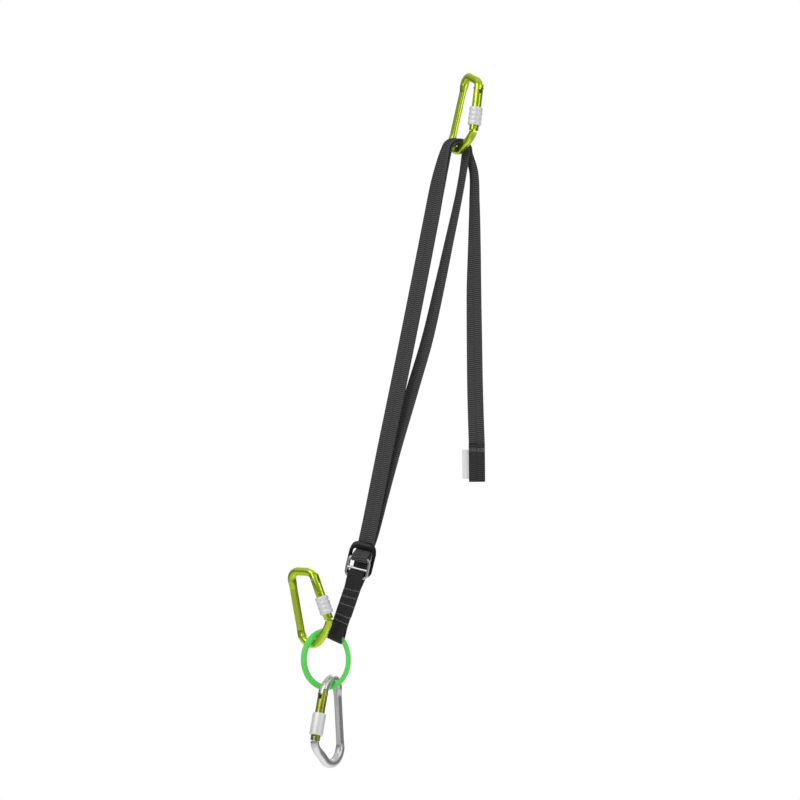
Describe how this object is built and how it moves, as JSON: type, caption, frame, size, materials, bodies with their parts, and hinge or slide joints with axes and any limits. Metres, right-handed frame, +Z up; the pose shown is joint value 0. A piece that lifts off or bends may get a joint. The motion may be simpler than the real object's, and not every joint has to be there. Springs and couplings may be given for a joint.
{
  "type": "adjustable belay station sling",
  "caption": "Adjustable anchor sling: ribbed webbing over a locking carabiner, friction buckle, sewn tab, green ring, two more locking carabiners.",
  "frame": {"origin": "inside of the upper carabiner's crown, where it rests on its anchor", "axes": "+Z up along the hanging sling, +Y away from the viewer, +X to the viewer's right"},
  "size_m": [0.2439, 0.061, 0.8582],
  "materials": {
    "green_metal": "anodised, satin",
    "olive_metal": "anodised, satin",
    "silver_metal": "polished",
    "sleeve_metal": "satin",
    "steel": "plain",
    "buckle_silver": "bright",
    "buckle_black": "gloss black",
    "webbing": "woven, ribbed across",
    "ring_textile": "woven sheath",
    "ring_cord": "twisted",
    "label": "bare"
  },
  "bodies": {
    "upper_carabiner": {"upper_frame": "green_metal", "strap_inner_bend": "webbing", "strap_outer_bend": "webbing"},
    "upper_gate": {"upper_gate": "green_metal", "upper_gate_rivet": "steel", "upper_gate_spring": "steel"},
    "upper_plunger": {"upper_gate_plunger": "steel"},
    "upper_sleeve": {"upper_lock_sleeve": "sleeve_metal"},
    "arm": {"strap_load_strand": "webbing", "strap_return_strand": "webbing", "strap_fixed_strand": "webbing"},
    "adjuster": {"buckle_front_frame": "buckle_silver", "strap_buckle_wrap": "webbing"},
    "release_frame": {"buckle_rear_frame": "buckle_black"},
    "tab": {"tab_webbing": "webbing", "strap_fixed_end": "webbing"},
    "ring": {"ring_sheath": "ring_textile", "ring_core": "ring_cord"},
    "lower_carabiner": {"lower_frame": "green_metal"},
    "lower_gate": {"lower_gate": "green_metal", "lower_gate_rivet": "steel", "lower_gate_spring": "steel"},
    "lower_plunger": {"lower_gate_plunger": "steel"},
    "lower_sleeve": {"lower_lock_sleeve": "sleeve_metal"},
    "belay_carabiner": {"belay_frame": "silver_metal"},
    "belay_gate": {"belay_gate": "olive_metal", "belay_gate_rivet": "steel", "belay_gate_spring": "steel", "belay_sleeve_spring": "steel"},
    "belay_plunger": {"belay_gate_plunger": "steel"},
    "belay_sleeve": {"belay_lock_sleeve": "sleeve_metal"},
    "tail": {"strap_tail_strand": "webbing"},
    "tail_end": {"strap_tail_end": "webbing", "tail_label": "label"}
  },
  "joints": [
    {"name": "upper_gate_hinge", "type": "hinge", "parent": "upper_carabiner", "child": "upper_gate", "pos_m": [0.01094, -0.02174, -0.01026], "axis": [0.8529, 0.5, -0.1504], "range_deg": [0, 26], "stiffness_Nm_per_rad": 0.4, "springref_deg": -28.65},
    {"name": "upper_plunger_slide", "type": "slide", "parent": "upper_gate", "child": "upper_plunger", "axis": [-0.1186, -0.095, -0.9884], "range_m": [0, 0.001], "deforming": ["upper_gate_spring"]},
    {"name": "upper_sleeve_screw", "type": "slide", "parent": "upper_gate", "child": "upper_sleeve", "axis": [0.1186, 0.095, 0.9884], "range_m": [0, 0.005]},
    {"name": "arm_swing", "type": "hinge", "parent": "upper_carabiner", "child": "arm", "pos_m": [-0.01541, 0.00043, -0.08593], "axis": [0.4924, -0.866, -0.0868], "range_deg": [-40, 12]},
    {"name": "length_adjust", "type": "slide", "parent": "arm", "child": "adjuster", "axis": [0.2302, 0, 0.9732], "range_m": [-0.11, 0.28], "deforming": ["strap_load_strand", "strap_return_strand", "strap_fixed_strand"]},
    {"name": "release_tilt", "type": "hinge", "parent": "adjuster", "child": "release_frame", "pos_m": [-0.13852, 0.0023, -0.60954], "axis": [-0.9299, 0.2924, 0.2232], "range_deg": [0, 8], "stiffness_Nm_per_rad": 0.05, "springref_deg": -11.46},
    {"name": "tab_swing", "type": "hinge", "parent": "adjuster", "child": "tab", "pos_m": [-0.13956, 0, -0.61083], "axis": [0.9299, -0.2924, -0.2232], "range_deg": [-15, 30]},
    {"name": "ring_swing", "type": "hinge", "parent": "tab", "child": "ring", "pos_m": [-0.16444, 0.00479, -0.68452], "axis": [0.8173, -0.1668, -0.5515], "range_deg": [-25, 25], "deforming": ["tab_webbing"]},
    {"name": "lower_carabiner_swing", "type": "hinge", "parent": "ring", "child": "lower_carabiner", "pos_m": [-0.19235, -0.00084, -0.68551], "axis": [0.7063, 0.3682, 0.6046], "range_deg": [-15, 15]},
    {"name": "lower_gate_hinge", "type": "hinge", "parent": "lower_carabiner", "child": "lower_gate", "pos_m": [-0.19076, -0.01282, -0.61373], "axis": [0.5839, 0.7986, 0.1456], "range_deg": [0, 26], "stiffness_Nm_per_rad": 0.4, "springref_deg": -28.65},
    {"name": "lower_plunger_slide", "type": "slide", "parent": "lower_gate", "child": "lower_plunger", "axis": [0.3255, -0.066, -0.9432], "range_m": [0, 0.001], "deforming": ["lower_gate_spring"]},
    {"name": "lower_sleeve_screw", "type": "slide", "parent": "lower_gate", "child": "lower_sleeve", "axis": [-0.3255, 0.066, 0.9432], "range_m": [0, 0.005]},
    {"name": "belay_carabiner_swing", "type": "hinge", "parent": "ring", "child": "belay_carabiner", "pos_m": [-0.16623, 0.00145, -0.74657], "axis": [-0.816, 0.3753, -0.4396], "range_deg": [-25, 25]},
    {"name": "belay_gate_hinge", "type": "hinge", "parent": "belay_carabiner", "child": "belay_gate", "pos_m": [-0.18076, -0.01377, -0.75649], "axis": [0.8479, -0.5299, -0.0178], "range_deg": [0, 26], "stiffness_Nm_per_rad": 0.4, "springref_deg": -28.65},
    {"name": "belay_plunger_slide", "type": "slide", "parent": "belay_gate", "child": "belay_plunger", "axis": [-0.1635, -0.2295, -0.9595], "range_m": [0, 0.001], "deforming": ["belay_gate_spring"]},
    {"name": "belay_sleeve_twist", "type": "hinge", "parent": "belay_gate", "child": "belay_sleeve", "pos_m": [-0.18076, -0.01377, -0.75649], "axis": [0.1635, 0.2295, 0.9595], "range_deg": [0, 90], "stiffness_Nm_per_rad": 0.01, "springref_deg": -34.38},
    {"name": "tail_swing", "type": "hinge", "parent": "upper_carabiner", "child": "tail", "pos_m": [-0.00415, 0.00703, -0.08791], "axis": [0.4924, -0.866, -0.0868], "range_deg": [-8, 30]},
    {"name": "tail_run", "type": "slide", "parent": "tail", "child": "tail_end", "axis": [0.0105, 0, -0.9999], "range_m": [-0.331, 0.841], "deforming": ["strap_tail_strand"]}
  ],
  "couplings": [
    {"joint": "upper_plunger_slide", "follows": "upper_gate_hinge", "m_per_rad": 0.002125},
    {"joint": "lower_plunger_slide", "follows": "lower_gate_hinge", "m_per_rad": 0.002125},
    {"joint": "belay_plunger_slide", "follows": "belay_gate_hinge", "m_per_rad": 0.002125},
    {"joint": "tail_run", "follows": "length_adjust", "ratio": 3}
  ]
}
